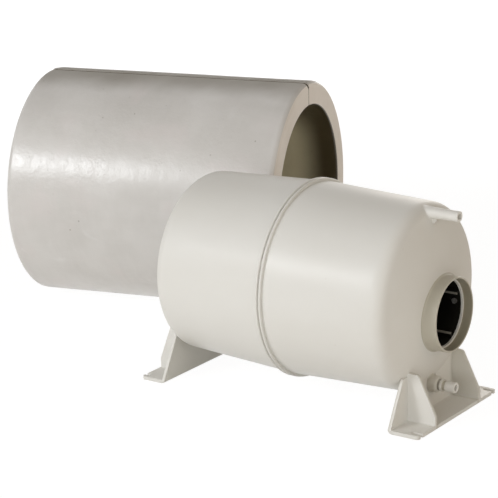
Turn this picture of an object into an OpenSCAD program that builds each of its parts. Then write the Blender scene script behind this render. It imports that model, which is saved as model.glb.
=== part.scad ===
// Small storage water heater: a moulded plastic tank on two feet with a finned duct through it,
// and the slit foam sleeve that goes round the tank, standing beside it.
// The frame: +X along the tank to its front collar, +Z up, origin on the floor under the weld seam.

/* [Tank] */
// Outer radius of the barrel at the weld seam
tank_r = 92; // [88:0.5:93]
// Wall thickness of both shells
tank_wall = 3; // [2:0.5:4]
// Room between the floor and the barrel at the seam
ground_room = 16; // [14:0.5:22]
// Radius of the domed ends
dome_r = 210; // [180:5:260]
// Front crown, measured from the seam
front_crown = 141; // [139:0.5:143]
// Radius of the front shoulder
front_knuckle = 15; // [12:0.5:18]
// Taper of the front half, degrees
front_draft = 2.2; // [1:0.1:3]
// Rear crown, measured from the seam
rear_crown = 139.5; // [138:0.5:141]
// Radius of the rear shoulder
rear_knuckle = 11; // [9:0.5:14]
// Taper of the rear half, degrees
rear_draft = 2.6; // [1:0.1:3]

/* [Seam] */
// How far the two flange ridges stand out of the barrel
flange_rise = 2.8; // [2:0.1:4]
// Width of each flange ridge
ridge_w = 2.6; // [2:0.1:3.4]
// Width of the weld between the flanges
weld_w = 1.2; // [0.8:0.1:1.8]
// How far the weld stands out of the barrel
weld_rise = 0.7; // [0.3:0.1:1.2]

/* [Duct] */
// Drop of the duct's axis below the tank's axis
duct_drop = 11.7; // [8:0.1:13]
// Outer radius of the two collars
collar_r = 35; // [33:0.5:37]
// Wall of the collars
collar_wall = 2; // [1.5:0.1:2.6]
// How far the collars stand out in front of the crowns
collar_h = 10.5; // [9.5:0.1:14]
// How deep a duct goes into a collar
duct_depth = 8.7; // [7:0.1:9]
// Thickness of the retaining rings that stop the duct
ring_t = 2; // [1.5:0.1:2.5]
// Step in the collars' bores that a duct stops at
seat_step = 0.5; // [0.3:0.1:0.8]
// Wall of the rubber seals round the tube
seal_t = 0.8; // [0.6:0.1:1.2]
// Length of the rubber seals
seal_len = 11; // [10:0.5:14]
// Wall of the finned tube
tube_wall = 1; // [0.8:0.1:1.5]
// Number of fins in the tube
fin_count = 4; // [3:1:5]
// Height of the fins
fin_h = 5; // [3:0.5:6]
// Thickness of the fins
fin_t = 2.4; // [1.6:0.1:3]
// Turn of the first fin above the level, degrees
fin_turn = 28; // [20:1:40]

/* [Water connections] */
// Outer radius of the two hose tails
hose_r = 5; // [4.5:0.1:5.5]
// Bore radius of the two hose tails
hose_bore = 2.75; // [2:0.05:3.2]
// Hot outlet's axis, below the barrel's top at the seam
outlet_set = 11.5; // [11:0.5:15]
// How far the hot outlet's thicker root stands out of the shoulder
outlet_root_h = 8.25; // [6.5:0.05:10]
// Length of the hot outlet's tail
outlet_tail = 22.5; // [18:0.5:28]
// Cold inlet's axis, above the barrel's bottom at the seam
inlet_set = 10.5; // [10:0.5:13]
// Length of the cold inlet's tail
inlet_tail = 10.1; // [9:0.1:16]
// Outer radius of the boss that holds the cold inlet
boss_r = 7.8; // [7:0.1:8.2]
// How far the boss stands out of the shoulder
boss_h = 12.3; // [10:0.1:14]
// Radius of the fitting's grip ring
grip_r = 6; // [5.8:0.1:6.6]
// Width of the fitting's grip ring
grip_w = 2.4; // [2:0.1:5.5]
// Width of the groove between grip ring and tail
groove_w = 2.5; // [2:0.1:4]
// Depth of that groove below the tail
groove_depth = 0.8; // [0.4:0.1:1.2]
// Thickness of the seal between boss and fitting
inlet_seal_t = 2.2; // [1.6:0.1:2.8]

/* [Feet] */
// Length of each base plate across the tank
foot_w = 146; // [138:1:154]
// How far the front web's inner face stands behind the front crown
front_foot_set = 16.5; // [15:0.1:18]
// How far the rear web's inner face stands behind the rear crown
rear_foot_set = 15; // [14:0.1:17]
// Depth of the front base plate along the tank
front_foot_d = 31.5; // [29:0.5:34]
// Depth of the rear base plate along the tank
rear_foot_d = 27; // [26:0.5:30]
// Rounding of the bend between web and base plate
foot_bend = 4; // [3:0.5:5]
// Thickness of the base plate
plate_t = 3.5; // [3:0.1:5]
// Thickness of the web
web_t = 3; // [2.5:0.1:4]
// Height of the web at its wings
web_h = 45; // [42:0.5:48]
// Width of the web at that height
web_top_w = 101; // [94:1:106]
// Outer face of each gusset, from the middle
gusset_y = 42.6; // [38:0.1:46]
// Thickness of the gussets
gusset_t = 3.3; // [2.5:0.1:4]
// Height of the gussets
gusset_h = 48.5; // [46:0.5:51]
// Reach of the gussets at their tops, from the web's inner face
gusset_top = 13.5; // [10:0.5:16]
// Height of the gussets at their outer ends
gusset_toe = 12.5; // [9:0.5:15]
// Rounding of the gussets' outer corners
gusset_round = 4; // [2:0.5:5]
// Width of the screw notches
notch_w = 4; // [3.5:0.1:5]
// Distance of the screw notches' round ends from the seam
notch_x = 148; // [146:0.5:149]
// Distance of the screw notches from the middle
notch_y = 66.5; // [64:0.5:68]

/* [Sleeve] */
// Wall thickness of the sleeve
sleeve_wall = 25; // [22:0.5:29]
// Room between the seam's ridges and the sleeve's bore
sleeve_fit = 2.2; // [1:0.1:4]
// Length of the sleeve
sleeve_len = 297; // [280:1:310]
// Rounding of the sleeve's outer edges
sleeve_round = 6; // [3:0.5:9]
// Rounding of the sleeve's inner edges
bore_round = 2; // [1:0.5:4]
// Width of the slit along the top
slit_w = 1; // [0.6:0.1:2]
// Half-width of the bevel along the slit
bevel_w = 2.4; // [1:0.1:4]
// Depth of the bevel along the slit
bevel_d = 3; // [1:0.1:5]
// Gap where the flap bends away from the sleeve
fold_gap = 0.3; // [0.2:0.05:0.6]
// Place of the fold, degrees round from the bottom
fold_turn = 25; // [20:1:30]
// Turn of the sleeve away from the tank's axis, degrees
sleeve_yaw = 14.3; // [10:0.1:16]
// How far the sleeve's near front corner laps over the tank's rear end
sleeve_lap = 30.9; // [26:0.1:36]
// Room between the sleeve's front end and the tank's rear end
sleeve_room = 4; // [4:0.1:12]

/* [Hidden] */
$fn = 96;
axis_z = tank_r + ground_room;
duct_z = axis_z - duct_drop;
duct_bore = collar_r - collar_wall;
neck_bore = duct_bore - seat_step;
tube_r = neck_bore - seal_t;
tube_bore = tube_r - tube_wall;
front_rim = front_crown + collar_h;
rear_rim = rear_crown + collar_h;
front_tube_end = front_rim - duct_depth - ring_t;
rear_tube_end = rear_rim - duct_depth - ring_t;
outlet_off = tank_r - outlet_set;
inlet_off = tank_r - inlet_set;
outlet_z = axis_z + outlet_off;
inlet_z = axis_z - inlet_off;
// Where the outlet's and the boss's roots start, in front of the shoulder's centre
front_at = shoulder(front_draft, front_knuckle, front_crown);
outlet_start = 1.5;
boss_start = 4;
root_x = front_at[1] + outlet_start;
boss_root = front_at[1] + boss_start;
outlet_root = front_wall(outlet_off) + outlet_root_h;
outlet_tip = outlet_root + outlet_tail;
boss_face = front_wall(inlet_off) + boss_h;
grip_x = boss_face + inlet_seal_t;
inlet_tail_x = grip_x + grip_w + groove_w;
inlet_tip = inlet_tail_x + inlet_tail;
// Straight steps of the seat round the shoulder, from the dome's edge to the barrel
seat_steps = 4;
dome_turn = atan2(front_at[0], front_at[1] - front_crown + dome_r);
seat_turn = (90 - front_draft - dome_turn) / seat_steps;
// Length of the holes through the end walls, and how far behind the crown they start
hole_len = 40;
hole_back = 30;
// How far behind the crown a collar starts, before the dome trims it
collar_back = 20;
// Smoothness of the domes
dome_steps = 256;
// The hot outlet's thicker root and the stiffening rib under it
outlet_step = 0.4;
outlet_rib_t = 2;
outlet_rib_drop = 5.5;
outlet_rib_back = 1;
outlet_rib_x = outlet_root - outlet_rib_back;
// Room round the boss in the slot of the front foot's web
boss_room = 0.4;
// How far the cold inlet's seal stands out round its hose tail
seal_lip = 0.4;
// Threaded shank of the cold inlet, which ends just short of the end wall
shank_step = 0.5;
shank_r = hose_r - shank_step;
shank_fit = 0.1;
shank_x = front_wall(inlet_off - shank_r - shank_fit) + shank_fit;
// Round rivet head on the tube's far wall
rivet_set = 6.4;
rivet_x = front_tube_end - rivet_set;
rivet_turn = 5;
rivet_r = 2.6;
rivet_h = 1.8;
rivet_shank_r = 1.2;
// Room between the rivet's flat head and the tube's round wall
rivet_room = 0.3;
// Plate inside the tank that spreads the cold jet
deflector_x = 96;
deflector_t = 1.6;
deflector_w = 30;
deflector_h = 24;
sleeve_bore = tank_r + flange_rise + sleeve_fit;
sleeve_r = sleeve_bore + sleeve_wall;
rear_end_r = tank_r - tan(rear_draft) * (rear_crown - rear_knuckle);
sleeve_x = sleeve_lap - rear_crown - sleeve_r * sin(sleeve_yaw) - sleeve_len / 2 * cos(sleeve_yaw);
sleeve_y = rear_end_r + sleeve_room + sleeve_r * cos(sleeve_yaw) - sleeve_len / 2 * sin(sleeve_yaw);
// Room for cuts to run past a face
past = 1;
span = 2 * sleeve_r;

plastic = [0.86, 0.85, 0.82];
foam = [0.73, 0.72, 0.69];
dark_metal = [0.13, 0.13, 0.13];
rubber = [0.12, 0.12, 0.12];
pale_rubber = [0.45, 0.43, 0.38];

// Centre of the shoulder arc as [radius, distance along], tangent to the barrel and to the dome
function shoulder(draft, knuckle, crown) =
  let (s = tan(draft), q = 1 + s * s, a = tank_r - knuckle / cos(draft), c = crown - dome_r)
  let (b = a * s + c, k = a * a + c * c - pow(dome_r - knuckle, 2))
  let (along = (b + sqrt(b * b - q * k)) / q)
  [a - s * along, along];

// Where the shoulder arc meets the dome
function dome_edge(at, knuckle, crown, inset) =
  at + (knuckle - inset) * [at[0], at[1] - crown + dome_r] / (dome_r - knuckle);

// Outer face of the front end at a distance from the tank's axis
function front_wall(off) =
  off < dome_edge(front_at, front_knuckle, front_crown, 0)[0]
    ? front_crown - dome_r + sqrt(pow(dome_r, 2) - off * off)
    : front_at[1] + sqrt(pow(front_knuckle, 2) - pow(off - front_at[0], 2));

// A gusset's rounded corner p, between its neighbours a and b: where the round starts, and its centre
function towards(p, q) = (q - p) / norm(q - p);
function half_turn(a, p, b) = acos(towards(p, a) * towards(p, b)) / 2;
function round_start(a, p, b) = p + towards(p, a) * gusset_round / tan(half_turn(a, p, b));
function round_centre(a, p, b) =
  let (middle = towards(p, a) + towards(p, b))
  p + middle / norm(middle) * gusset_round / sin(half_turn(a, p, b));

// Half outline of the dome inside the shoulder
module cap_outline(at, knuckle, crown, inset) {
  edge = dome_edge(at, knuckle, crown, inset);
  intersection() {
    translate([0, crown - dome_r]) circle(r = dome_r - inset, $fn = dome_steps);
    square([edge[0], crown]);
  }
}

// Half outline of one end of the tank, drawn in by inset
module head_outline(draft, knuckle, crown, inset) {
  at = shoulder(draft, knuckle, crown);
  edge = dome_edge(at, knuckle, crown, inset);
  barrel_end = at + (knuckle - inset) * [cos(draft), sin(draft)];
  polygon([[0, 0], [tank_r - inset / cos(draft), 0], barrel_end, at, edge, [0, edge[1]]]);
  translate(at) circle(r = knuckle - inset);
  cap_outline(at, knuckle, crown, inset);
}

module along_x(x, z, y = 0) {
  translate([x, y, z]) rotate([0, 90, 0]) children();
}

module ring(r, bore, len) {
  difference() {
    cylinder(r = r, h = len);
    translate([0, 0, -past]) cylinder(r = bore, h = len + 2 * past);
  }
}

// A turned solid whose outline starts at its side, clear of the pieces at its top and bottom
module revolve() {
  rotate([0, 0, 90]) rotate_extrude() children();
}

module front_solid(inset = 0) {
  along_x(0, axis_z) revolve() head_outline(front_draft, front_knuckle, front_crown, inset);
}

// Corner of the straight steps that go round the front shoulder's arc
function seat_corner(i) =
  let (turn = dome_turn + (i + 0.5) * seat_turn)
  front_at + front_knuckle / cos(seat_turn / 2) * [sin(turn), cos(turn)];

// Seat of the pieces that stand on the front shoulder: it touches the shoulder and dome from outside
module front_seat() {
  crown_at = (front_at * [sin(dome_turn), cos(dome_turn)] + front_knuckle) / cos(dome_turn);
  corners = [for (i = [seat_steps - 1 : -1 : 0]) seat_corner(i)];
  along_x(0, axis_z) revolve() polygon(concat([[0, 0], [tank_r, 0]], corners, [[0, crown_at]]));
}

module rear_solid(inset = 0) {
  mirror([1, 0, 0]) along_x(0, axis_z) revolve() head_outline(rear_draft, rear_knuckle, rear_crown, inset);
}

// One moulded half with its flange ridge, lying along +X
module shell(draft, knuckle, crown) {
  along_x(0, axis_z) revolve() {
    difference() {
      head_outline(draft, knuckle, crown, 0);
      head_outline(draft, knuckle, crown, tank_wall);
      square([tank_r + past, weld_w / 2]);
    }
    translate([tank_r - tank_wall / 2, weld_w / 2])
      square([tank_wall / 2 + flange_rise - ridge_w / 2, ridge_w]);
    translate([tank_r + flange_rise - ridge_w / 2, (weld_w + ridge_w) / 2]) circle(d = ridge_w);
  }
}

module front_shell() {
  color(plastic) difference() {
    shell(front_draft, front_knuckle, front_crown);
    along_x(front_crown - hole_back, duct_z) cylinder(r = neck_bore, h = hole_len);
    along_x(front_crown - hole_back, outlet_z) cylinder(r = hose_bore, h = hole_len);
    along_x(front_crown - hole_back, inlet_z) cylinder(r = hose_bore, h = hole_len);
  }
}

module rear_shell() {
  color(plastic) mirror([1, 0, 0]) difference() {
    shell(rear_draft, rear_knuckle, rear_crown);
    along_x(rear_crown - hole_back, duct_z) cylinder(r = neck_bore, h = hole_len);
  }
}

module seam_weld() {
  color(plastic) along_x(-weld_w / 2, axis_z) ring(tank_r + weld_rise, tank_r - tank_wall, weld_w);
}

// Stub that a duct pushes into, with a step in its bore
module collar(rim, crown) {
  difference() {
    along_x(crown - collar_back, duct_z) ring(collar_r, neck_bore, rim - crown + collar_back);
    along_x(rim - duct_depth, duct_z) cylinder(r = duct_bore, h = duct_depth + past);
  }
}

module front_collar() {
  color(plastic) difference() {
    collar(front_rim, front_crown);
    front_solid();
  }
}

module rear_collar() {
  color(plastic) difference() {
    mirror([1, 0, 0]) collar(rear_rim, rear_crown);
    rear_solid();
  }
}

module air_tube() {
  tube_len = front_tube_end + rear_tube_end;
  color(dark_metal) along_x(-rear_tube_end, duct_z) {
    difference() {
      ring(tube_r, tube_bore, tube_len);
      translate([0, 0, rear_tube_end]) rivet_turned() cylinder(r = rivet_shank_r, h = tube_r);
    }
    for (i = [0 : fin_count - 1])
      rotate([0, 0, 90 + fin_turn + i * 360 / fin_count])
        translate([tube_bore - fin_h, -fin_t / 2, 0]) cube([fin_h + tube_wall / 2, fin_t, tube_len]);
  }
}

// Puts a shape that stands on the duct's axis at the rivet's place, pointing outwards
module rivet_turned() {
  translate([0, 0, rivet_x]) rotate([0, 0, 90 + rivet_turn]) rotate([0, 90, 0]) children();
}

module tube_rivet() {
  color("silver") along_x(0, duct_z) rivet_turned() {
    translate([0, 0, tube_bore - rivet_h]) cylinder(r = rivet_r, h = rivet_h - rivet_room);
    translate([0, 0, tube_bore - rivet_h]) cylinder(r = rivet_shank_r, h = rivet_h + tube_wall / 2);
  }
}

module front_tube_seal() {
  color(rubber) along_x(front_tube_end - seal_len, duct_z) ring(neck_bore, tube_r, seal_len);
}

module rear_tube_seal() {
  color(rubber) along_x(-rear_tube_end, duct_z) ring(neck_bore, tube_r, seal_len);
}

module front_tube_ring() {
  color(plastic) along_x(front_tube_end, duct_z) ring(neck_bore, tube_bore, ring_t);
}

module rear_tube_ring() {
  color(plastic) along_x(-rear_tube_end - ring_t, duct_z) ring(neck_bore, tube_bore, ring_t);
}

module hot_outlet() {
  color(plastic) difference() {
    union() {
      along_x(root_x, outlet_z) cylinder(r = hose_r + outlet_step, h = outlet_root - root_x);
      along_x(root_x, outlet_z) cylinder(r = hose_r, h = outlet_tip - root_x);
      translate([root_x, -outlet_rib_t / 2, outlet_z - hose_r - outlet_rib_drop])
        cube([outlet_rib_x - root_x, outlet_rib_t, hose_r + outlet_rib_drop]);
    }
    along_x(root_x - past, outlet_z) cylinder(r = hose_bore, h = outlet_tip - root_x + 2 * past);
    front_seat();
  }
}

module inlet_boss() {
  color(plastic) difference() {
    along_x(boss_root, inlet_z) cylinder(r = boss_r, h = boss_face - boss_root);
    along_x(boss_root - past, inlet_z) cylinder(r = hose_bore, h = boss_face - boss_root + 2 * past);
    along_x(shank_x, inlet_z) cylinder(r = shank_r + shank_fit, h = boss_face - shank_x + past);
    front_seat();
  }
}

module inlet_seal() {
  color(pale_rubber) along_x(boss_face, inlet_z) ring(hose_r + seal_lip, shank_r, inlet_seal_t);
}

module inlet_fitting() {
  color(plastic) difference() {
    union() {
      along_x(shank_x, inlet_z) cylinder(r = shank_r, h = grip_x - shank_x + past);
      along_x(grip_x, inlet_z) cylinder(r = grip_r, h = grip_w);
      along_x(grip_x, inlet_z) cylinder(r = hose_r - groove_depth, h = inlet_tip - grip_x);
      along_x(inlet_tail_x, inlet_z) cylinder(r = hose_r, h = inlet_tail);
    }
    along_x(shank_x - past, inlet_z) cylinder(r = hose_bore, h = inlet_tip - shank_x + 2 * past);
  }
}

module inlet_deflector() {
  color(plastic) intersection() {
    translate([deflector_x, -deflector_w / 2, 0]) cube([deflector_t, deflector_w, inlet_z + deflector_h]);
    front_solid(tank_wall);
  }
}

// Open notch in the outer edge of a base plate, round at its inner end
module notch(depth, bottom, side) {
  translate([bottom, side * notch_y, -past]) linear_extrude(plate_t + 2 * past) {
    circle(d = notch_w);
    translate([0, -notch_w / 2]) square([depth, notch_w]);
  }
}

// Side view of base plate and web, from the web's inner face along +X
module bend_outline(depth) {
  top = web_h + past;
  polygon([[foot_bend, 0], [depth, 0], [depth, plate_t], [web_t, plate_t],
    [web_t, top], [0, top], [0, foot_bend]]);
  intersection() {
    translate([foot_bend, foot_bend]) circle(r = foot_bend);
    square(foot_bend);
  }
}

// End view of base plate and web
module web_outline() {
  half = foot_w / 2;
  half_top = web_top_w / 2;
  polygon([[-half, -past], [half, -past], [half, plate_t],
    [half_top, web_h], [-half_top, web_h], [-half, plate_t]]);
}

// Side view of a gusset, from the web's inner face along +X
module gusset_outline(depth) {
  base = [depth, plate_t / 2];
  toe = [depth, gusset_toe];
  top = [gusset_top, gusset_h];
  back = [web_t / 2, gusset_h];
  polygon([[web_t / 2, plate_t / 2], base, round_start(base, toe, top), round_start(top, toe, base),
    round_start(toe, top, back), round_start(back, top, toe), back]);
  translate(round_centre(base, toe, top)) circle(r = gusset_round);
  translate(round_centre(toe, top, back)) circle(r = gusset_round);
}

// One foot, from its web's inner face along +X: base plate, upright web and two gussets
module foot(depth, inner) {
  length = foot_w + 2 * past;
  difference() {
    union() {
      intersection() {
        translate([0, length / 2, 0]) rotate([90, 0, 0]) linear_extrude(length) bend_outline(depth);
        translate([-past, 0, 0]) rotate([90, 0, 90]) linear_extrude(depth + 2 * past) web_outline();
      }
      for (side = [-1, 1])
        translate([0, side * (gusset_y - gusset_t / 2) + gusset_t / 2, 0])
          rotate([90, 0, 0]) linear_extrude(gusset_t) gusset_outline(depth);
    }
    for (side = [-1, 1]) notch(depth, notch_x - inner, side);
  }
}

module front_foot() {
  inner = front_crown - front_foot_set;
  slot_r = boss_r + boss_room;
  slot_t = web_t + 2 * past;
  color(plastic) difference() {
    translate([inner, 0, 0]) foot(front_foot_d, inner);
    front_solid();
    translate([inner - past, 0, inlet_z]) rotate([90, 0, 90]) linear_extrude(slot_t) {
      circle(r = slot_r);
      translate([-slot_r, 0]) square([2 * slot_r, web_h]);
    }
  }
}

module rear_foot() {
  inner = rear_crown - rear_foot_set;
  color(plastic) difference() {
    mirror([1, 0, 0]) translate([inner, 0, 0]) foot(rear_foot_d, inner);
    rear_solid();
  }
}

// Half outline of the sleeve's wall
module sleeve_outline() {
  half = sleeve_len / 2;
  translate([sleeve_bore, -half + sleeve_round]) square([sleeve_wall, sleeve_len - 2 * sleeve_round]);
  translate([sleeve_bore + bore_round, -half])
    square([sleeve_wall - bore_round - sleeve_round, sleeve_len]);
  for (end = [-1, 1]) {
    translate([sleeve_r - sleeve_round, end * (half - sleeve_round)]) circle(r = sleeve_round);
    translate([sleeve_bore + bore_round, end * (half - bore_round)]) circle(r = bore_round);
    corner = sleeve_round - bore_round;
    translate([sleeve_bore, end * (half - (sleeve_round + bore_round) / 2) - corner / 2])
      square([sleeve_wall / 2, corner]);
  }
}

module sleeve_place() {
  translate([sleeve_x, sleeve_y, sleeve_r]) rotate([0, 0, sleeve_yaw]) children();
}

module sleeve_tube() {
  difference() {
    rotate([0, 90, 0]) rotate_extrude() sleeve_outline();
    sleeve_prism()
      polygon([[-bevel_w, sleeve_r + past], [bevel_w, sleeve_r + past], [0, sleeve_r - bevel_d]]);
  }
}

module sleeve_prism() {
  translate([-span, 0, 0]) rotate([90, 0, 90]) linear_extrude(2 * span) children();
}

// Cross-section from the slit at the top to the fold on the far side, drawn in by half the gaps
module flap_sector(slit, gap) {
  edge = [sin(fold_turn), -cos(fold_turn)];
  apex = [slit / 2, (gap / 2 - slit / 2 * cos(fold_turn)) / sin(fold_turn)];
  polygon([apex, apex + [0, span], apex + [span, span], apex + [span, 0], apex + span * edge]);
}

module sleeve_body() {
  color(foam) sleeve_place() difference() {
    sleeve_tube();
    sleeve_prism() flap_sector(-slit_w, -fold_gap);
  }
}

module sleeve_flap() {
  color(foam) sleeve_place() intersection() {
    sleeve_tube();
    sleeve_prism() flap_sector(slit_w, fold_gap);
  }
}

front_shell();
rear_shell();
seam_weld();
front_collar();
rear_collar();
air_tube();
tube_rivet();
front_tube_seal();
rear_tube_seal();
front_tube_ring();
rear_tube_ring();
hot_outlet();
inlet_boss();
inlet_seal();
inlet_fitting();
inlet_deflector();
front_foot();
rear_foot();
sleeve_body();
sleeve_flap();
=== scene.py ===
import bmesh
import bpy
import math
from mathutils import Matrix, Vector, noise


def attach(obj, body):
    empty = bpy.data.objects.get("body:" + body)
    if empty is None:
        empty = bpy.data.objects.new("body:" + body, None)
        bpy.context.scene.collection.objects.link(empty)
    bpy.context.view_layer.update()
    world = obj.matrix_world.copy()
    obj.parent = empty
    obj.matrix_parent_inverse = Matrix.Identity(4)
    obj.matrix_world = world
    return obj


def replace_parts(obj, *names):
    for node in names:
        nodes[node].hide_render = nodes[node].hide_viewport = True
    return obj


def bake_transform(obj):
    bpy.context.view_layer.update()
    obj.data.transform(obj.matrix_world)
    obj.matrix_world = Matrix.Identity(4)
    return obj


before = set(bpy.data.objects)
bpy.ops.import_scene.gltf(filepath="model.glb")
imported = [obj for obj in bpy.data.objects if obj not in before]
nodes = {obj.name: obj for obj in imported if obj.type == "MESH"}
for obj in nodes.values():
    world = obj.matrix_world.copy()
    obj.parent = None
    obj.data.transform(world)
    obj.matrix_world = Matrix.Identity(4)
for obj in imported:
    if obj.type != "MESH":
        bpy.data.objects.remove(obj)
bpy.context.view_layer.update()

photo = {"place": (0.9972, -1.5405, 0.6645), "yaw": 34.801, "pitch": -16.052, "roll": -1.065,
         "focal": 2034.2, "width": 498, "sensor": 36}  # degrees, and the focal length in pixels


def makeCamera():
    yaw, pitch, roll = (math.radians(photo[k]) for k in ("yaw", "pitch", "roll"))
    forward = Vector((-math.sin(yaw) * math.cos(pitch), math.cos(yaw) * math.cos(pitch), math.sin(pitch)))
    level = Vector((math.cos(yaw), math.sin(yaw), 0))
    above = level.cross(forward)
    right = math.cos(roll) * level + math.sin(roll) * above
    up = math.cos(roll) * above - math.sin(roll) * level
    data = bpy.data.cameras.new("photoCamera")
    data.sensor_width = photo["sensor"]
    data.lens = photo["focal"] / photo["width"] * photo["sensor"]
    data.clip_end = 20
    camera = bpy.data.objects.new("photoCamera", data)
    turn = Matrix((right, up, -forward)).transposed().to_4x4()
    camera.matrix_world = Matrix.Translation(photo["place"]) @ turn
    bpy.context.scene.collection.objects.link(camera)
    bpy.context.scene.camera = camera


makeCamera()
print("camera at the photograph's view")


def plug(tree, socket, value):  # links a wire, or sets a plain value
    if isinstance(value, Wire):
        tree.links.new(value.socket, socket)
    else:
        socket.default_value = value


class Wire:  # one output of a node, with arithmetic
    def __init__(self, tree, socket):
        self.tree, self.socket = tree, socket

    def maths(self, operation, first, second):
        made = self.tree.nodes.new("ShaderNodeMath")
        made.operation = operation
        plug(self.tree, made.inputs[0], first)
        plug(self.tree, made.inputs[1], second)
        return Wire(self.tree, made.outputs[0])

    def size(self):  # without its sign
        return self.maths("ABSOLUTE", self, 0)

    def __add__(self, other): return self.maths("ADD", self, other)
    def __radd__(self, other): return self.maths("ADD", other, self)
    def __sub__(self, other): return self.maths("SUBTRACT", self, other)
    def __rsub__(self, other): return self.maths("SUBTRACT", other, self)
    def __mul__(self, other): return self.maths("MULTIPLY", self, other)
    def __rmul__(self, other): return self.maths("MULTIPLY", other, self)


class Finish:  # the nodes of one material, or of the world
    def __init__(self, owner):
        self.owner = owner
        owner.use_nodes = True
        self.tree = owner.node_tree
        self.tree.nodes.clear()

    def node(self, kind, settings, sockets, give=0):
        made = self.tree.nodes.new(kind)
        for key, value in settings.items():
            setattr(made, key, value)
        for key, value in sockets.items():
            plug(self.tree, made.inputs[key], value)
        return Wire(self.tree, made.outputs[give]) if len(made.outputs) else None

    def place(self):  # metres in the part's own frame
        return self.node("ShaderNodeTexCoord", {}, {}, "Object")

    def split(self, place):
        x = self.node("ShaderNodeSeparateXYZ", {}, {"Vector": place}, "X")
        return x, *(Wire(self.tree, x.socket.node.outputs[k]) for k in "YZ")

    def stretch(self, place, scale, turn=0):
        return self.node("ShaderNodeMapping", {}, {"Vector": place, "Rotation": (0, 0, turn), "Scale": scale})

    def cloud(self, place, scale, detail=2, distortion=0):
        return self.node("ShaderNodeTexNoise", {}, {"Vector": place, "Scale": scale, "Detail": detail,
                                                    "Distortion": distortion}, "Fac")

    def window(self, value, low, high):  # 0 below low, 1 above high, smooth between
        return self.node("ShaderNodeMapRange", {"interpolation_type": "SMOOTHSTEP"},
                         {"Value": value, "From Min": low, "From Max": high})

    def blend(self, share, first, second):
        return self.node("ShaderNodeMix", {"data_type": "RGBA"}, {0: share, 6: first, 7: second}, 2)

    def bump(self, height, strength, distance, under=None):
        sockets = {"Height": height, "Strength": strength, "Distance": distance}
        if under is not None:
            sockets["Normal"] = under
        return self.node("ShaderNodeBump", {}, sockets)

    def done(self, sockets):
        shader = self.node("ShaderNodeBsdfPrincipled", {}, sockets)
        self.node("ShaderNodeOutputMaterial", {}, {"Surface": shader})
        return self.owner


def newFinish(name):
    return Finish(bpy.data.materials.new(name))


def rgb(*parts):
    return (*parts, 1)


plasticLook = {"colour": rgb(0.755, 0.745, 0.71), "warm": rgb(0.71, 0.692, 0.645), "grimeAndShadeColour": rgb(0.43, 0.395, 0.305),
               "roughness": 0.30, "specular": 0.25, "collarShade": rgb(0.29, 0.26, 0.19), "duct": 0.0963,
               "inside": (0.0331, 0.0337), "dull": 0.5, "grain": 1500, "peel": 170}


def mouldedPlastic(name, bandOfGrimeAndShade=None, ageAndShade=0.0, collarShade=0.0, dull=None, bay=None):
    # the bands of dirt and of painted shade, and dull, go by the distance from the seam, alike on both ends
    look = plasticLook
    f = newFinish(name)
    place = f.place()
    cloudy = f.cloud(place, 7, 3)
    flow = f.cloud(f.stretch(place, (5, 34, 34)), 1, 2)  # faint flow marks along the mould
    tone = f.window(cloudy * 0.6 + flow * 0.4, 0.3, 0.75)
    lines = f.cloud(place, 21, 2, 1.6) - 0.5
    patch = f.window(f.cloud(place, 11, 1), 0.5, 0.68)
    scuff = patch * (1 - f.window(lines * lines, 0.0, 0.00006))
    colour = f.blend(tone * 0.55, look["colour"], look["warm"])
    speck = f.node("ShaderNodeTexVoronoi", {}, {"Vector": place, "Scale": 130}, "Distance")
    dirt = (1 - f.window(speck, 0.02, 0.07)) * f.window(f.cloud(place, 31, 1), 0.58, 0.66)
    x, y, z = f.split(place)
    far = x.size()
    rough = look["roughness"] + cloudy * 0.1 + scuff * 0.14
    if dull:
        rough = rough + f.window(far, *dull) * look["dull"]
    # a band of dirt at the seam, and bands of painted shade in the inlet tail's groove and on the feet's faces under
    # the tank
    if bandOfGrimeAndShade:
        off = far - bandOfGrimeAndShade["at"]
        dirt = dirt + (1 - f.window(off * off, bandOfGrimeAndShade["full"] ** 2, bandOfGrimeAndShade["none"] ** 2)) * bandOfGrimeAndShade["strength"]
    # darker all over: a slight yellowing on the fitting and feet, darker on the boss, and painted shade on the collar
    if ageAndShade:
        dirt = dirt + ageAndShade * (0.7 + cloudy * 0.6)
    if bay:  # painted shade in the corners inside the gussets
        out = y.size()
        inside = f.window(out, *bay["in"]) * (1 - f.window(out, *bay["out"])) * f.window(far, *bay["face"])
        dirt = dirt + inside * (0.4 + cloudy * 0.7)
    # the darkening gathered in dirt is partly specks and dirt, partly painted shade
    colour = f.blend(dirt * 0.5, colour, look["grimeAndShadeColour"])
    if collarShade:  # painted shade inside the duct's collars
        up = z - look["duct"]
        inside = 1 - f.window(y * y + up * up, look["inside"][0] ** 2, look["inside"][1] ** 2)
        colour = f.blend(inside * collarShade, colour, look["collarShade"])
    grain = f.bump(f.cloud(place, look["grain"], 2), 0.12, 0.0002)
    peel = f.bump(f.cloud(place, look["peel"], 2), 0.10, 0.0006, grain)
    return f.done({"Base Color": colour, "Roughness": rough, "Specular IOR Level": look["specular"],
                   "Normal": peel})


foamLook = {"colour": rgb(0.645, 0.628, 0.606), "dark": rgb(0.56, 0.541, 0.515), "pale": rgb(0.71, 0.70, 0.685),
            "pink": rgb(0.64, 0.597, 0.58), "topShadeColour": rgb(0.27, 0.249, 0.215), "topShadeBand": (0.2345, 0.2495),
            "speck": rgb(0.26, 0.235, 0.2), "roughness": 0.27, "specular": 0.7, "yaw": math.radians(14.3),
            "cells": 620, "dents": 310}
# the cut ends are paler than the skin, partly the cut foam's own colour and partly painted light
cutLook = {**foamLook, "colour": rgb(0.82, 0.775, 0.725), "dark": rgb(0.75, 0.70, 0.645), "pale": rgb(0.86, 0.83, 0.78),
           "pink": rgb(0.80, 0.74, 0.70), "topShadeBand": (0.25, 0.26), "roughness": 0.55, "specular": 0.3}
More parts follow.
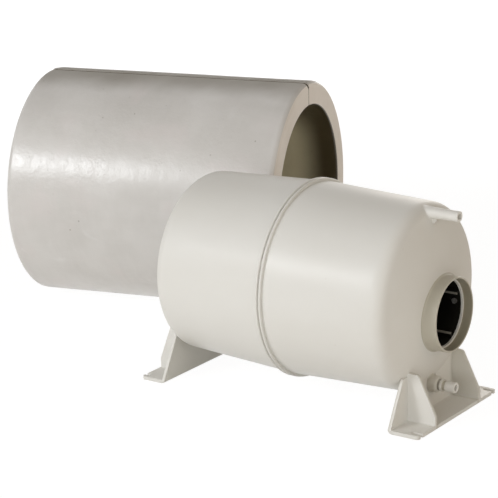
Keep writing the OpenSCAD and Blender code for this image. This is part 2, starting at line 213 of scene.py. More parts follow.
# the bore's pale yellow colour deep inside is painted light from the far opening, and its near-black colour is painted
# shade
boreLook = {**foamLook, "colour": rgb(0.68, 0.64, 0.49), "dark": rgb(0.6, 0.56, 0.41), "pale": rgb(0.72, 0.69, 0.56),
            "pink": rgb(0.66, 0.60, 0.46), "paintedShade": rgb(0.045, 0.032, 0.012), "mouth": (0.096, 0.135),
            "top": (0.165, 0.215), "middle": (-0.282633, 0.171705)}


def sleeveFoam(name, look):
    f = newFinish(name)
    place = f.place()
    cloudy = f.cloud(place, 17, 4)
    drawn = f.cloud(f.stretch(place, (9, 60, 60), -look["yaw"]), 1, 3)  # marks drawn along the sleeve
    down = f.cloud(f.stretch(place, (150, 60, 22), -look["yaw"]), 1, 4)  # and short ones round it
    tone = f.window(cloudy * 0.65 + drawn * 0.22 + down * 0.13, 0.34, 0.68)
    colour = f.blend(tone * 0.8, look["colour"], look["dark"])
    colour = f.blend(f.window(f.cloud(place, 19, 3, 0.6), 0.5, 0.7) * 0.45, colour, look["pink"])
    rub = f.window(f.cloud(place, 26, 4, 0.8), 0.56, 0.72) * f.window(f.cloud(place, 6, 2), 0.46, 0.62)
    colour = f.blend(rub * 0.45, colour, look["pale"])
    speck = f.node("ShaderNodeTexVoronoi", {}, {"Vector": place, "Scale": 85}, "Distance")
    dirt = (1 - f.window(speck, 0.03, 0.11)) * f.window(f.cloud(place, 17, 1), 0.55, 0.64)
    colour = f.blend(dirt * 0.7, colour, look["speck"])
    x, y, z = f.split(place)
    topShadeBand = f.window(z + cloudy * 0.006, *look["topShadeBand"])  # painted shade along the top, which is also rougher
    colour = f.blend(topShadeBand * 0.85, colour, look["topShadeColour"])
    if "paintedShade" in look:  # painted shade towards the front mouth and along the top
        along = (x - look["middle"][0]) * math.cos(look["yaw"]) + (y - look["middle"][1]) * math.sin(look["yaw"])
        outOfShade = (1 - f.window(along, *look["mouth"])) * (1 - f.window(z, *look["top"]))
        colour = f.blend(outOfShade, look["paintedShade"], colour)
    scratch = f.window(down, 0.45, 0.65)
    cells = f.node("ShaderNodeTexVoronoi", {"feature": "SMOOTH_F1"}, {"Vector": place, "Scale": look["cells"]},
                   "Distance")
    skin = f.bump(cells, 0.10, 0.0005)
    dents = f.cloud(place, look["dents"], 3) * f.window(f.cloud(place, 30, 2), 0.33, 0.68)
    uneven = f.bump(rub + f.cloud(place, 90, 3) + dents, 0.22, 0.0010, skin)
    rough = look["roughness"] + cloudy * 0.07 + rub * 0.06 + scratch * 0.03 + topShadeBand * 0.45
    return f.done({"Base Color": colour, "Roughness": rough, "Specular IOR Level": look["specular"],
                   "Normal": uneven})


# the pale colour at the fins' edges is a painted highlight
tubeLook = {"axis": 0.0963, "finEdge": 0.0259, "finSide": 0.0266, "black": rgb(0.004, 0.0033, 0.002),
            "soot": rgb(0.009, 0.0078, 0.0055), "finGlint": rgb(0.34, 0.325, 0.29), "roughness": 0.55, "specular": 0.1}


def darkTube(name):
    look = tubeLook
    f = newFinish(name)
    place = f.place()
    drawn = f.cloud(f.stretch(place, (8, 420, 420)), 1, 2)
    soot = f.window(f.cloud(place, 60, 4), 0.35, 0.7)
    colour = f.blend(soot, look["black"], look["soot"])
    x, y, z = f.split(place)
    up = z - look["axis"]
    finGlint = 1 - f.window(y * y + up * up, look["finEdge"] ** 2, look["finSide"] ** 2)  # painted highlight along the fins' edges
    colour = f.blend(finGlint * (0.55 + drawn * 0.5), colour, look["finGlint"])
    return f.done({"Base Color": colour, "Roughness": look["roughness"] + drawn * 0.2,
                   "Specular IOR Level": look["specular"], "Normal": f.bump(drawn, 0.1, 0.0003)})


blackLook = {"colour": rgb(0.022, 0.021, 0.02), "dusty": rgb(0.06, 0.056, 0.05), "dust": 240, "spread": (0.45, 0.75),
             "roughness": 0.7, "duller": 0.15, "grain": 1800}
sealLook = {"colour": rgb(0.33, 0.31, 0.265), "dusty": rgb(0.42, 0.40, 0.35), "dust": 300, "spread": (0.4, 0.7),
            "roughness": 0.65, "duller": 0.2, "grain": 1600}


def dustyRubber(name, look):
    f = newFinish(name)
    place = f.place()
    dust = f.window(f.cloud(place, look["dust"], 3), *look["spread"])
    colour = f.blend(dust, look["colour"], look["dusty"])
    return f.done({"Base Color": colour, "Roughness": look["roughness"] + dust * look["duller"],
                   "Normal": f.bump(f.cloud(place, look["grain"], 1), 0.2, 0.0001)})


rivetLook = {"colour": rgb(0.30, 0.29, 0.27), "worn": rgb(0.42, 0.41, 0.39), "metallic": 0.85, "roughness": 0.38}


def rivetMetal(name):
    look = rivetLook
    f = newFinish(name)
    place = f.place()
    worn = f.window(f.cloud(place, 700, 2), 0.35, 0.7)
    colour = f.blend(worn, look["colour"], look["worn"])
    return f.done({"Base Color": colour, "Metallic": look["metallic"], "Roughness": look["roughness"] + worn * 0.2,
                   "Normal": f.bump(worn, 0.1, 0.0001)})


seamGrime = {"at": 0, "full": 0.0042, "none": 0.0085, "strength": 0.06}
# painted shade in the inlet tail's groove
grooveShade = {"at": 0.142235, "full": 0.00105, "none": 0.0015, "strength": 1.6}
underTankShade = {"at": 0.1245, "full": 0.0006, "none": 0.0016, "strength": 0.4}  # painted shade on the feet's faces under the tank
# painted shade in the corners between the gussets
gussetShade = {"in": (0.034, 0.0391), "out": (0.0398, 0.0412), "face": (0.1268, 0.1276)}
dullEnds = (0.114, 0.128)
finishes = {"shell": mouldedPlastic("shellPlastic", seamGrime, dull=dullEnds),
            "plastic": mouldedPlastic("mouldedPlastic"),
            "fitting": mouldedPlastic("fittingPlastic", grooveShade, ageAndShade=0.1),
            "foot": mouldedPlastic("footPlastic", underTankShade, ageAndShade=0.1, bay=gussetShade),
            "boss": mouldedPlastic("bossPlastic", ageAndShade=0.8),
            # the collar is darkened all over and browned inside, as painted shade
            "collar": mouldedPlastic("collarShadedPlastic", ageAndShade=1.5, collarShade=0.92),
            "foam": sleeveFoam("sleeveFoam", foamLook),
            "bore": sleeveFoam("boreFoamLitAndShaded", boreLook),
            "cut": sleeveFoam("cutFoam", cutLook),
            "tube": darkTube("darkTube"),
            "rubber": dustyRubber("blackRubber", blackLook),
            "seal": dustyRubber("greySeal", sealLook),
            "rivet": rivetMetal("rivetMetal")}
print("finishes:", ", ".join(finishes))


def newPiece(name, points, faces, finish, body, sharp=35):
    mesh = bpy.data.meshes.new(name)
    mesh.from_pydata(points, [], faces)
    return settle(name, mesh, finish, body, sharp)


def settle(name, mesh, finish, body, sharp=35):  # joins doubled points, turns faces outwards, smooths
    work = bmesh.new()
    work.from_mesh(mesh)
    bmesh.ops.remove_doubles(work, verts=work.verts, dist=1e-6)
    bmesh.ops.dissolve_degenerate(work, edges=work.edges, dist=1e-6)
    bmesh.ops.recalc_face_normals(work, faces=work.faces)
    work.to_mesh(mesh)
    work.free()
    mesh.shade_smooth()
    mesh.set_sharp_from_angle(angle=math.radians(sharp))
    piece = bpy.data.objects.new(name, mesh)
    bpy.context.scene.collection.objects.link(piece)
    mesh.materials.append(finishes[finish])
    if body:
        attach(piece, body)
    return piece


def gridFaces(rows, columns, roundRows, roundColumns):
    down = rows if roundRows else rows - 1
    over = columns if roundColumns else columns - 1
    return [(i * columns + j, i * columns + (j + 1) % columns, (i + 1) % rows * columns + (j + 1) % columns,
             (i + 1) % rows * columns + j) for i in range(down) for j in range(over)]


def quarter(centre, radius, start, steps):  # points of a quarter turn, start in degrees
    turns = [math.radians(start + 90 * i / steps) for i in range(steps + 1)]
    return [(centre[0] + radius * math.cos(t), centre[1] + radius * math.sin(t)) for t in turns]


sleeve = {"outer": 0.122, "bore": 0.097, "length": 0.297, "edgeRound": 0.006, "boreRound": 0.002,
          "centre": (-0.282633, 0.171705, 0.122), "yaw": math.radians(14.3),
          "slit": 0.001, "bevelWide": 0.0034, "bevelDeep": 0.003, "fineStep": 0.0004,
          "lipWide": 0.016, "lipRise": {1: 0.0009, -1: -0.0003},  # the far lip stands a little prouder
          "foldTurn": 25, "stripTurn": 60, "bendHalf": 0.0835,  # the strip that bends, either side of the fold
          "slitShadow": 0.0014, "slitDeep": 0.006, "cutFacing": 0.9, "endFacing": 0.8,
          "wave": 0.0004, "waveScale": 16, "ripple": 0.00009, "rippleScale": 95,
          "fineSteps": 12, "edgeSteps": 8, "lipSteps": 5, "endSteps": 8, "boreSteps": 40, "skinSteps": 72, "sharp": 50}


def wallLoop():  # the wall cut along the sleeve, as (along, radius)
    s = sleeve
    half, e, b = s["length"] / 2, s["edgeRound"], s["boreRound"]

    def line(a, z, n):
        return [(a[0] + (z[0] - a[0]) * i / n, a[1] + (z[1] - a[1]) * i / n) for i in range(1, n)]
    loop = []
    for side in (1, -1):
        outer = [(side * p[0], p[1]) for p in quarter((half - e, s["outer"] - e), e, 0, s["edgeSteps"])]
        inner = [(side * p[0], p[1]) for p in quarter((half - b, s["bore"] + b), b, -90, s["lipSteps"])]
        loop.append((outer, inner))
    (frontOut, frontIn), (rearOut, rearIn) = loop
    path = list(reversed(frontOut)) + line(frontOut[0], frontIn[-1], s["endSteps"]) + list(reversed(frontIn))
    path += line(frontIn[0], rearIn[0], s["boreSteps"]) + rearIn + line(rearIn[-1], rearOut[0], s["endSteps"])
    return path + rearOut + line(rearOut[-1], frontOut[-1], s["skinSteps"])


def sleevePoint(along, radius, turn):  # turn is in radians from the bottom towards the far side
    s = sleeve
    u, w = radius * math.sin(turn), -radius * math.cos(turn)
    seed = Vector((along, u, w))
    radius -= s["wave"] * (0.5 + 0.5 * noise.noise(seed * s["waveScale"]))
    radius -= s["ripple"] * (1 + noise.noise(seed * s["rippleScale"]))
    u, w = radius * math.sin(turn), -radius * math.cos(turn)
    c, n = math.cos(s["yaw"]), math.sin(s["yaw"])
    return (s["centre"][0] + along * c - u * n, s["centre"][1] + along * n + u * c, s["centre"][2] + w)


def slitArc(name, side, endTurn, body):  # from the slit at the top, down one side, to endTurn
    s = sleeve
    loop = wallLoop()
    first = math.asin(s["slit"] / 2 / s["outer"])
    last = math.radians(180 - side * endTurn)
    fine = [math.asin((s["slit"] / 2 + s["fineStep"] * (i + 1)) / s["outer"]) for i in range(s["fineSteps"])]
    count = round(math.degrees(last) / 2)
    coarse = [first + (last - first) * i / count for i in range(1, count + 1)]
    turns = [first] + fine + [t for t in coarse if t > fine[-1] * 1.3]
    points = []
    for t in turns:
        share = (t - first) / (last - first)
        for along, radius in loop:
            opened = math.asin(s["slit"] / 2 / radius)
            turn = opened + (last - opened) * share
            across = s["outer"] * math.sin(min(turn, 1))
            groove = s["bevelDeep"] * max(0, 1 - across / s["bevelWide"]) ** 1.35
            wall = s["outer"] - s["bore"]
            lip = s["lipRise"][side] * max(0, 1 - across / s["lipWide"]) ** 2
            sunk = s["bore"] + (radius - s["bore"]) * (wall - groove + lip) / wall
            points.append(sleevePoint(along, sunk, side * (math.pi - turn)))
    faces = gridFaces(len(turns), len(loop), False, True)
    faces.append(tuple(range(len(loop))))
    faces.append(tuple((len(turns) - 1) * len(loop) + j for j in range(len(loop))))
    return newPiece(name, points, faces, "foam", body, s["sharp"])


def bendStrip(name):  # the stretch of foam that bends when the slit is pulled open
    s = sleeve
    loop = wallLoop()
    count = 2 * s["stripTurn"]
    turns = [math.radians(s["foldTurn"] - s["stripTurn"] + i) for i in range(count + 1)]
    points = [sleevePoint(along, radius, t) for t in turns for along, radius in loop]
    faces = gridFaces(len(turns), len(loop), False, True)
    faces.append(tuple(range(len(loop))))
    faces.append(tuple(count * len(loop) + j for j in range(len(loop))))
    strip = newPiece(name, points, faces, "foam", None, s["sharp"])
    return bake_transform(strip)


def paintBoreAndSlit(piece):  # painted light and shade on the bore, painted shadow in the depth of the slit, and the cut ends paler, partly painted light
    s = sleeve
    piece.data.materials.append(finishes["bore"])
    piece.data.materials.append(finishes["cut"])
    side = Vector((-math.sin(s["yaw"]), math.cos(s["yaw"]), 0))
    forward = Vector((math.cos(s["yaw"]), math.sin(s["yaw"]), 0))
    for face in piece.data.polygons:
        away = face.center - Vector(s["centre"])
        across, radius = abs(away.dot(side)), math.hypot(away.dot(side), away.z)
        # faces deep in the slit and on its cut walls take the bore's finish, whose near-black there is painted shadow
        inSlit = away.z > 0 and across < s["slitShadow"] and radius > s["outer"] - s["slitDeep"]
        cut = away.z > 0 and across < s["slit"] and abs(face.normal.dot(side)) > s["cutFacing"]
        if radius < s["bore"] + s["boreRound"] / 4 or inSlit or cut:
            face.material_index = 1
        elif abs(face.normal.dot(forward)) > s["endFacing"]:
            face.material_index = 2


def makeSleeve():
    s = sleeve
    near = slitArc("sleeve_near", -1, s["foldTurn"] - s["stripTurn"], "sleeve")
    far = slitArc("sleeve_far", 1, s["foldTurn"] + s["stripTurn"], "flap")
    strip = bendStrip("sleeve_bend")
    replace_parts(near, "sleeve_body")
    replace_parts(far, "sleeve_flap")
    for piece in (near, far, strip):
        paintBoreAndSlit(piece)


makeSleeve()
print("sleeve: two sides and the strip that bends")

tank = {"radius": 0.092, "axis": 0.108, "dome": 0.21, "duct": 0.0963}
front = {"facing": 1, "crown": 0.141, "knuckle": 0.015, "draft": math.radians(2.2), "foot": 0.1245, "deep": 0.0315}
rear = {"facing": -1, "crown": 0.1395, "knuckle": 0.011, "draft": math.radians(2.6), "foot": 0.1245, "deep": 0.027}


def shoulderCentre(end):  # (radius, along) of the shoulder's arc
    slope = math.tan(end["draft"])
    a = tank["radius"] - end["knuckle"] / math.cos(end["draft"])
    c = end["crown"] - tank["dome"]
    b, q = a * slope + c, 1 + slope * slope
    k = a * a + c * c - (tank["dome"] - end["knuckle"]) ** 2
    along = (b + math.sqrt(b * b - q * k)) / q
    return a - slope * along, along


def endFace(end, off):  # along, for a distance off the tank's axis
    at = shoulderCentre(end)
    edge = at[0] * tank["dome"] / (tank["dome"] - end["knuckle"])
    if off <= edge:
        return end["crown"] - tank["dome"] + math.sqrt(tank["dome"] ** 2 - off * off)
    beyond = min(off - at[0], end["knuckle"])
    return at[1] + math.sqrt(end["knuckle"] ** 2 - beyond * beyond)


def turned(name, loop, axis, facing, finish, steps=96):  # a closed loop of (radius, along) turned round
    points = []
    for i in range(steps):
        turn = 2 * math.pi * i / steps
        points += [(facing * a, r * math.cos(turn), axis + r * math.sin(turn)) for r, a in loop]
    return newPiece(name, points, gridFaces(steps, len(loop), True, True), finish, "tank", 40)


stub = {"flareSteps": 8, "skirt": 0.0006, "deep": 0.0014, "clear": 0.0004}  # how a stub sinks into the tank's end


def standOut(name, profile, root, fillet, axis, end, start, steps=96, finish="plastic"):
    # a turned stub that flares on to the tank's end: profile is (radius, along) from inside its mouth to its root
    points = []

    def ground(radius, turn):
        y, z = radius * math.cos(turn), axis + radius * math.sin(turn) - tank["axis"]
        return max(start, endFace(end, math.hypot(y, z)))
    for i in range(steps):
        turn = 2 * math.pi * i / steps
        low, out = ground(root, turn), ground(root + fillet, turn)
        flare = [(root + k * k * fillet, (1 - k) ** 2 * (low + fillet) + 2 * (1 - k) * k * low + k * k * out)
                 for k in (j / stub["flareSteps"] for j in range(stub["flareSteps"] + 1))]
        bottom = low - stub["deep"]
        sink = [(root + fillet, out - stub["skirt"]), (root, bottom), (profile[0][0] + stub["clear"], bottom)]
        ring = profile + flare + sink
        points += [(end["facing"] * a, r * math.cos(turn), axis + r * math.sin(turn)) for r, a in ring]
    return newPiece(name, points, gridFaces(steps, len(ring), True, True), finish, "tank", 40)


def lipOut(radius, along, lip, steps=4):  # rounded outer edge of a mouth, going outwards
    return list(reversed(quarter((radius - lip, along - lip), lip, 0, steps)))


def lipIn(radius, along, lip, steps=4):  # rounded inner edge of a mouth, going outwards
    return list(reversed(quarter((radius + lip, along - lip), lip, 90, steps)))


collar = {"outer": 0.035, "bore": 0.033, "neck": 0.0325, "depth": 0.0087, "standing": 0.0105,
          "lip": 0.0007, "fillet": 0.0018, "behind": 0.0035, "corner": 0.0002}


def makeCollar(name, end):
    c = collar
    rim = end["crown"] + c["standing"]
    step, k = rim - c["depth"], c["corner"]
    profile = [(c["neck"], step - c["behind"]), (c["neck"], step - k), (c["neck"] + k, step),
               (c["bore"] - k, step), (c["bore"], step + k)]
    profile += lipIn(c["bore"], rim, c["lip"]) + lipOut(c["outer"], rim, c["lip"])
    return standOut(name, profile, c["outer"], c["fillet"], tank["duct"], end, 0, 160, "collar")


outlet = {"axis": 0.1885, "radius": 0.005, "bore": 0.00275, "tip": 0.1555, "deep": 0.02, "root": 0.133,
          "rootRadius": 0.0054, "taper": 0.0008, "lip": 0.0005, "fillet": 0.0016, "start": 0.1125,
          "rib": [(0.1235, 0.178), (0.1287, 0.178), (0.1318, 0.1815), (0.1318, 0.186), (0.1235, 0.186)],
          "ribHalf": 0.001, "ribBevel": 0.0005}
inlet = {"axis": 0.0265, "radius": 0.005, "bore": 0.00275, "tip": 0.153585, "tail": 0.143485, "groove": 0.0042,
         "ring": 0.138585, "ringEnd": 0.140985, "ringRadius": 0.006, "shank": 0.0045, "shankStart": 0.1268,
         "boss": 0.0078, "bossFace": 0.136385, "bossRound": 0.0022, "hole": 0.0046, "lip": 0.0005, "fillet": 0.0013,
         "start": 0.1162}


def makeOutlet():
    o = outlet
    profile = [(o["bore"], o["tip"] - o["deep"])] + lipIn(o["bore"], o["tip"], o["lip"])
    profile += lipOut(o["radius"], o["tip"], o["lip"])
    profile += [(o["radius"], o["root"] + o["taper"]), (o["rootRadius"], o["root"] - o["taper"])]
    piece = standOut("outlet_tail", profile, o["rootRadius"], o["fillet"], o["axis"], front, o["start"])
    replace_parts(piece, "hot_outlet")
    rib = prism(o["rib"], -o["ribHalf"], o["ribHalf"], lambda u, v, h: (u, h, v))
    settle("outlet_rib", carved(rib, [], o["ribBevel"]), "plastic", "tank")


def makeInlet():
    n = inlet
    profile = [(n["hole"], n["shankStart"]), (n["hole"], n["bossFace"])]
    profile += lipOut(n["boss"], n["bossFace"], n["bossRound"])
    boss = standOut("inlet_seat", profile, n["boss"], n["fillet"], n["axis"], front, n["start"], finish="boss")
    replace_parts(boss, "inlet_boss")
    lip = n["lip"]
    loop = [(n["bore"], n["shankStart"])] + lipIn(n["bore"], n["tip"], lip) + lipOut(n["radius"], n["tip"], lip)
    loop += [(n["radius"], n["tail"] + lip), (n["radius"] - lip, n["tail"]), (n["groove"], n["tail"]),
             (n["groove"], n["ringEnd"])] + lipOut(n["ringRadius"], n["ringEnd"], lip)
    loop += quarterBack(n["ringRadius"], n["ring"], lip) + [(n["shank"], n["ring"]), (n["shank"], n["shankStart"])]
    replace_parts(turned("inlet_tail", loop, n["axis"], 1, "fitting"), "inlet_fitting")


def quarterBack(radius, along, lip, steps=4):  # rounded edge of a back face, going inwards
    return list(reversed(quarter((radius - lip, along + lip), lip, -90, steps)))


def standing(mesh):  # a passing object for one mesh
    made = bpy.data.objects.new("passing", mesh)
    bpy.context.scene.collection.objects.link(made)
    return made


def prism(outline, low, high, lay):  # a flat outline drawn from low to high, each point laid by lay(u, v, height)
    count = len(outline)
    mesh = bpy.data.meshes.new("prism")
    faces = [tuple(range(count)), tuple(range(2 * count - 1, count - 1, -1))]
    faces += [(i, i + count, (i + 1) % count + count, (i + 1) % count) for i in range(count)]
    mesh.from_pydata([lay(u, v, h) for h in (low, high) for u, v in outline], [], faces)
    return outward(mesh)


def outward(mesh, flat=False):  # joins doubled points, and turns the faces outwards
    work = bmesh.new()
    work.from_mesh(mesh)
    bmesh.ops.remove_doubles(work, verts=work.verts, dist=1e-6)
    if flat:
        bmesh.ops.dissolve_limit(work, angle_limit=math.radians(0.5), verts=work.verts, edges=work.edges)
    bmesh.ops.recalc_face_normals(work, faces=work.faces)
    work.to_mesh(mesh)
    work.free()
    return mesh


def carved(mesh, tools, bevel):  # joins or cuts one mesh by others in turn, then rounds its edges
    made = standing(mesh)
    passing = [made]
    for operation, tool in tools:
        passing.append(standing(tool))
        step = made.modifiers.new("step", "BOOLEAN")
        step.operation, step.solver, step.object = operation, "EXACT", passing[-1]
    whole = outward(finished(made), True)
    for piece in passing:
        bpy.data.objects.remove(piece)
    made = standing(whole)
    rounding = made.modifiers.new("rounding", "BEVEL")
    rounding.width, rounding.segments, rounding.limit_method = bevel, 3, "ANGLE"
    rounding.angle_limit = math.radians(35)
    rounded = finished(made)
    bpy.data.objects.remove(made)
    return rounded


def finished(made):  # the mesh that an object's modifiers leave
    view = bpy.context.evaluated_depsgraph_get()
    view.update()
    return bpy.data.meshes.new_from_object(made.evaluated_get(view))


foot = {"wide": 0.146, "plate": 0.0035, "web": 0.003, "webHigh": 0.045, "webTop": 0.101, "bend": 0.004,
        "inside": 0.0012, "corner": 0.0026, "notch": 0.004, "notchAlong": 0.148, "notchOut": 0.0665,
        "gussetOut": 0.0426, "gussetThick": 0.0033, "gussetHigh": 0.0485, "gussetTop": 0.0135, "gussetToe": 0.0125,
        "gussetRound": 0.004, "slotHalf": 0.00785, "slotTop": 0.07, "bevel": 0.0008, "sink": 0.001, "past": 0.002,
        "notchSteps": 12, "slotSteps": 24, "cutSteps": 160}


def roundCorner(before, at, after, radius, steps=6):
    before, at, after = Vector(before), Vector(at), Vector(after)
    a, b = (before - at).normalized(), (after - at).normalized()
    half = a.angle(b) / 2
    first, last = at + a * radius / math.tan(half), at + b * radius / math.tan(half)
    middle = at + (a + b).normalized() * radius / math.sin(half)
    points = []
    for i in range(steps + 1):
        way = (first - middle).lerp(last - middle, i / steps).normalized() * radius
        points.append(tuple(middle + way))
    return points


def bendOutline(end):  # plate and web from the side, in one bent piece
    f = foot
    top = f["webHigh"] + f["past"]
    outside = roundCorner((0, top), (0, 0), (end["deep"], 0), f["bend"])
    inside = roundCorner((end["deep"], f["plate"]), (f["web"], f["plate"]), (f["web"], top), f["inside"])
    return outside + [(end["deep"], 0), (end["deep"], f["plate"])] + inside + [(f["web"], top), (0, top)]


def webOutline():  # plate and web from the end
    f = foot
    half, top = f["wide"] / 2, f["webTop"] / 2
    side = [(half, -f["past"]), (half, f["plate"]), (top, f["webHigh"])]
    return side + [(-u, v) for u, v in reversed(side)]


def planOutline(end):  # rounded corners and screw notches, from above
    f = foot
    half, out, r = f["wide"] / 2, end["deep"], f["notch"] / 2
    corner = roundCorner((0, half), (out, half), (out, 0), f["corner"])
    turns = [math.radians(90 + 180 * i / f["notchSteps"]) for i in range(f["notchSteps"] + 1)]
    bottom = f["notchAlong"] - end["foot"]
    bay = [(bottom + r * math.cos(t), f["notchOut"] + r * math.sin(t)) for t in turns]
    side = [(-f["past"], half)] + corner + [(out, f["notchOut"] + r)] + bay + [(out, f["notchOut"] - r)]
    return side + [(u, -v) for u, v in reversed(side)]


def gussetOutline(end):
    f = foot
    root = f["web"] / 2
    base, toe = (end["deep"], root), (end["deep"], f["gussetToe"])
    top, back = (f["gussetTop"], f["gussetHigh"]), (root, f["gussetHigh"])
    return [(root, root), base] + roundCorner(base, toe, top, f["gussetRound"]) \
        + roundCorner(toe, top, back, f["gussetRound"]) + [back]


def slotOutline():  # the front foot passes round the inlet's boss
    r, top, count = foot["slotHalf"], foot["slotTop"], foot["slotSteps"]
    turns = [math.radians(180 + 180 * i / count) for i in range(count + 1)]
    return [(r, top), (-r, top)] + [(r * math.cos(t), inlet["axis"] + r * math.sin(t)) for t in turns]


def tankCut(end):  # the tank's end, drawn in a little, that a foot is trimmed by
    at, inset = shoulderCentre(end), foot["sink"]
    middle = end["crown"] - tank["dome"]
    domeTurn = math.atan2(at[0], at[1] - middle)
    wide, tight = tank["dome"] - inset, end["knuckle"] - inset
    domeTurns = [domeTurn * i / 10 for i in range(11)]
    knuckleTurns = [domeTurn + (math.pi / 2 - end["draft"] - domeTurn) * i / 8 for i in range(1, 9)]
    profile = [(wide * math.sin(t), middle + wide * math.cos(t)) for t in domeTurns]
    profile += [(at[0] + tight * math.sin(t), at[1] + tight * math.cos(t)) for t in knuckleTurns]
    profile += [(tank["radius"] - inset, 0), (0, 0)]
    steps, points = foot["cutSteps"], []
    for i in range(steps):
        turn = 2 * math.pi * i / steps
        points += [(end["facing"] * a, r * math.cos(turn), tank["axis"] + r * math.sin(turn)) for r, a in profile]
    mesh = bpy.data.meshes.new("tankCut")
    mesh.from_pydata(points, [], gridFaces(steps, len(profile), True, False))
    return outward(mesh)


def makeFoot(name, end, node):
    f = foot

    def lay(order):
        def place(u, v, h):
            spot = {order[0]: u, order[1]: v, order[2]: h}
            return end["facing"] * (end["foot"] + spot["x"]), spot["y"], spot["z"]
        return place
    half, past = f["wide"] / 2, f["past"]
    bent = prism(bendOutline(end), -half - past, half + past, lay("xzy"))
    tools = [("INTERSECT", prism(webOutline(), -past, end["deep"] + past, lay("yzx"))),
             ("INTERSECT", prism(planOutline(end), -past, f["webHigh"] + past, lay("xyz")))]
    for side in (-1, 1):
        out = side * f["gussetOut"]
        low, high = sorted((out, out - side * f["gussetThick"]))
        tools.append(("UNION", prism(gussetOutline(end), low, high, lay("xzy"))))
    if end is front:
        tools.append(("DIFFERENCE", prism(slotOutline(), -past, f["web"] + past, lay("yzx"))))
    tools.append(("DIFFERENCE", tankCut(end)))
    piece = settle(name, carved(bent, tools, f["bevel"]), "foot", "tank", 30)
    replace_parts(piece, node)


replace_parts(makeCollar("collar_front", front), "front_collar")
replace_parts(makeCollar("collar_rear", rear), "rear_collar")
makeOutlet()
makeInlet()
makeFoot("foot_front", front, "front_foot")
makeFoot("foot_rear", rear, "rear_foot")
print("tank: collars, hose tails and feet")


def shown(names, finish):
    for name in names:
        slots = nodes[name].data.materials
        slots.clear()
        slots.append(finishes[finish])


shown(["front_shell", "rear_shell", "seam_weld"], "shell")
shown(["front_tube_ring", "rear_tube_ring", "inlet_deflector"], "plastic")
shown(["air_tube"], "tube")
shown(["front_tube_seal", "rear_tube_seal"], "rubber")
shown(["inlet_seal"], "seal")
shown(["tube_rivet"], "rivet")
print("carried-over nodes finished")

stage = {"floorSide": 12, "floorDrop": 0.0003, "floorWhite": 1.12, "shadow": 0.16, "shadeNear": 0.7,
         "shadeFar": 1.5, "floorGlow": 0.18, "glowNear": 0.05, "glowFar": 0.22, "aim": (-0.05, 0.03, 0.11),
         "floor": (rgb(0.82, 0.81, 0.79), rgb(0.86, 0.85, 0.83)), "glow": (rgb(0.1, 0.092, 0.075), rgb(1, 0.95, 0.87)),
         "panels": {"keyPanel": {"turn": 27, "rise": 24, "away": 2.4, "size": (0.66, 0.42), "power": 21,
                                 "colour": (0.945, 0.97, 1)},
                    "frontPanel": {"turn": -15, "rise": 12, "away": 2.6, "size": (1.3, 1.0), "power": 15.4,
                                   "colour": (0.96, 0.98, 1)},
                    "rightPanel": {"turn": -78, "rise": 20, "away": 2.6, "size": (1.4, 1.2), "power": 7.6,
                                   "colour": (1, 0.965, 0.91)},
                    "farPanel": {"turn": -104, "rise": 24, "away": 2.6, "size": (1.4, 1.2), "power": 4.4,
                                 "colour": (1, 0.74, 0.48)},
                    "backPanel": {"turn": 170, "rise": 16, "away": 2.6, "size": (1.6, 1.2), "power": 15,
                                  "colour": (1, 0.95, 0.88)}},
         "sky": {"high": 0.25, "low": 0.28, "dim": 0.35, "colour": rgb(1.0, 0.905, 0.78),
                 "rise": (0.05, 0.8), "side": (0.6, 0.8), "dimmed": (-0.35, 0.55)}}


def areaLight(name, look):  # turn is degrees from straight in front of the barrel towards the tank's rear
    turn, rise = math.radians(look["turn"]), math.radians(look["rise"])
    start = Vector((-math.sin(turn) * math.cos(rise), -math.cos(turn) * math.cos(rise), math.sin(rise)))
    data = bpy.data.lights.new(name, "AREA")
    data.shape = "RECTANGLE"
    data.size, data.size_y = look["size"]
    data.energy, data.color = look["power"], look["colour"]
    light = bpy.data.objects.new(name, data)
    light.location = Vector(stage["aim"]) + start * look["away"]
    light.rotation_euler = (-start).to_track_quat("-Z", "Y").to_euler()
    bpy.context.scene.collection.objects.link(light)


def seenDirectly(f):  # 1 for what the camera, gloss and glass see
    ray = f.node("ShaderNodeLightPath", {}, {}, "Is Camera Ray")
    ports = ray.socket.node.outputs
    return f.node("ShaderNodeClamp", {}, {"Value": ray + Wire(f.tree, ports["Is Glossy Ray"])
                                          + Wire(f.tree, ports["Is Transmission Ray"])})


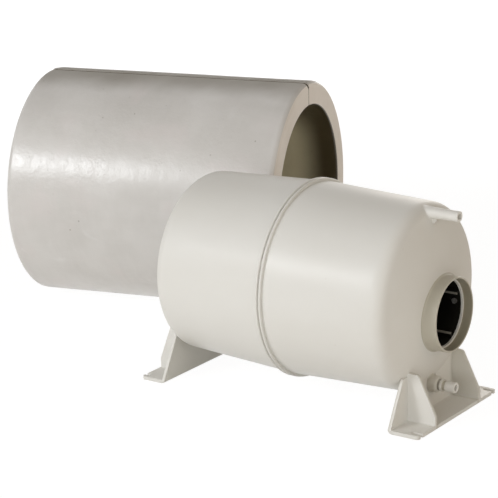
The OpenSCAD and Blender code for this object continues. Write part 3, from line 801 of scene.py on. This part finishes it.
def makeFloor():
    s = stage
    side = s["floorSide"] / 2
    mesh = bpy.data.meshes.new("floor")
    corners = [(-side, -side), (side, -side), (side, side), (-side, side)]
    mesh.from_pydata([(u, v, -s["floorDrop"]) for u, v in corners], [], [(0, 1, 2, 3)])
    floor = bpy.data.objects.new("floor", mesh)
    bpy.context.scene.collection.objects.link(floor)
    f = newFinish("paleFloor")
    place = f.place()
    x, y, z = f.split(place)
    away = x * x + y * y
    lit = f.node("ShaderNodeBsdfDiffuse", {}, {"Color": f.blend(f.cloud(place, 3, 2), *s["floor"])})
    around = f.window(away, s["glowNear"] ** 2, s["glowFar"] ** 2)  # no glow in the object's own shade
    glow = f.node("ShaderNodeEmission", {}, {"Color": f.blend(around, *s["glow"]), "Strength": s["floorGlow"]})
    bounced = f.node("ShaderNodeAddShader", {}, {0: lit, 1: glow})
    white = f.node("ShaderNodeEmission", {}, {"Color": rgb(1, 1, 1), "Strength": s["floorWhite"]})
    shade = s["shadow"] * (1 - f.window(away, s["shadeNear"] ** 2, s["shadeFar"] ** 2))
    bright = f.node("ShaderNodeMixShader", {}, {0: shade, 1: white, 2: lit})
    f.node("ShaderNodeOutputMaterial", {}, {"Surface": f.node("ShaderNodeMixShader", {},
                                                              {0: seenDirectly(f), 1: bounced, 2: bright})})
    mesh.materials.append(f.owner)


def makeSky():  # darker above, and darker to the right and behind
    s = stage["sky"]
    world = bpy.data.worlds.new("studio")
    bpy.context.scene.world = world
    f = Finish(world)
    x, y, z = f.split(f.node("ShaderNodeTexCoord", {}, {}, "Generated"))
    level = s["low"] - f.window(z, *s["rise"]) * (s["low"] - s["high"])
    level = level * (1 - s["dim"] * f.window(x * s["side"][0] + y * s["side"][1], *s["dimmed"]))
    soft = f.node("ShaderNodeBackground", {}, {"Color": s["colour"], "Strength": level})
    white = f.node("ShaderNodeBackground", {}, {"Color": rgb(1, 1, 1), "Strength": 1.0})
    f.node("ShaderNodeOutputWorld", {}, {"Surface": f.node("ShaderNodeMixShader", {},
                                                           {0: seenDirectly(f), 1: soft, 2: white})})


for panel, look in stage["panels"].items():
    areaLight(panel, look)
makeFloor()
makeSky()
bpy.context.scene.view_settings.view_transform = "Standard"
print("stage: floor, panels and sky")
